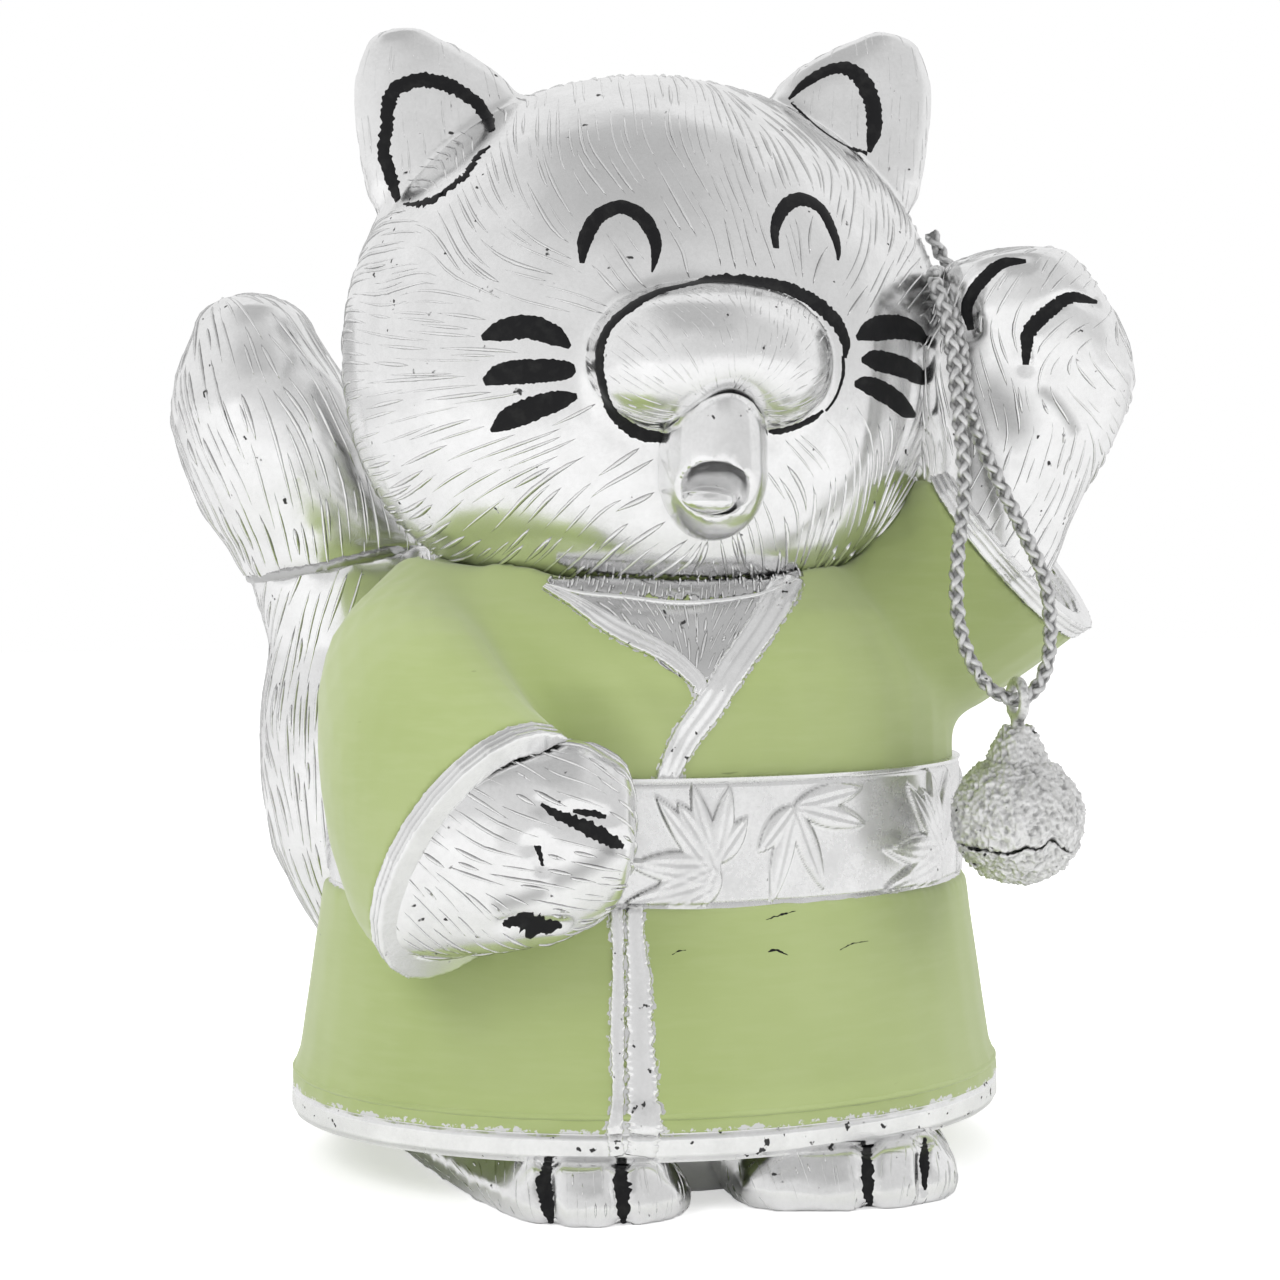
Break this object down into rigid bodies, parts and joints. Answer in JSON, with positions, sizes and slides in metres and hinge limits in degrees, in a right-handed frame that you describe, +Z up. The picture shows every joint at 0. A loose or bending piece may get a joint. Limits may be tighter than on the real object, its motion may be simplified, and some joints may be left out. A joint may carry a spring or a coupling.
{
  "type": "lucky cat figurine",
  "caption": "Standing laughing lucky cat in a kimono with a broad belt, with a paw raised beside the head and a jingle bell hung on a braided cord.",
  "frame": {"origin": "centre of the flat underside of the base block, on the surface that the figurine stands on", "axes": "+Z up, -Y is the way the cat faces, +X towards the raised paw and the bell (the cat's left)"},
  "size_m": [0.108, 0.0753, 0.1313],
  "materials": {
    "polished_silver": "mirror-bright silver plating with engraved fur strokes",
    "belt_silver": "bright silver plating with embossed leaves",
    "trim_silver": "silver trim with worn paint at its edges",
    "kimono_green": "matte pale green paint",
    "black_enamel": "glossy black enamel in engraved lines",
    "bell_silver": "coarse granular silver",
    "cord_silver": "silver thread braid"
  },
  "bodies": {
    "figure": {"base_block": "polished_silver", "foot_right": "polished_silver", "foot_left": "polished_silver", "hem_band": "trim_silver", "robe_skirt": "kimono_green", "placket_strip_under": "trim_silver", "placket_strip_over": "trim_silver", "belt": "belt_silver", "belt_knot": "belt_silver", "bow_loop_left": "belt_silver", "bow_loop_right": "belt_silver", "robe_upper": "kimono_green", "chest_fur": "polished_silver", "collar_under": "trim_silver", "collar_over": "trim_silver", "head": "polished_silver", "ear_right": "polished_silver", "ear_left": "polished_silver", "muzzle": "polished_silver", "lower_jaw": "polished_silver", "tongue": "polished_silver", "lowered_sleeve": "kimono_green", "lowered_cuff": "trim_silver", "lowered_paw": "polished_silver", "raised_sleeve": "kimono_green", "raised_cuff": "trim_silver", "raised_paw": "polished_silver", "tail_lower": "polished_silver", "tail_ring": "trim_silver", "tail_upper": "polished_silver", "cord_tuck_upper": "cord_silver", "cord_tuck_lower": "cord_silver", "cord_knot": "cord_silver", "cord_end": "cord_silver"},
    "cord_loop": {"cord": "cord_silver"},
    "bell": {"bell_eye": "bell_silver", "bell_crown": "bell_silver", "bell_bowl": "bell_silver"},
    "pea": {"bell_pea": "bell_silver"}
  },
  "joints": [
    {"name": "cord_lift", "type": "hinge", "parent": "figure", "child": "cord_loop", "pos_m": [0.0278, -0.0215, 0.0996], "axis": [-1, 0, 0], "range_deg": [0, 30]},
    {"name": "bell_swing", "type": "hinge", "parent": "cord_loop", "child": "bell", "pos_m": [0.0355, -0.027, 0.053], "axis": [-1, 0, 0], "range_deg": [-12, 60]},
    {"name": "pea_roll", "type": "hinge", "parent": "bell", "child": "pea", "pos_m": [0.0355, -0.027, 0.03985], "axis": [0, 1, 0], "range_deg": [-60, 60]}
  ]
}
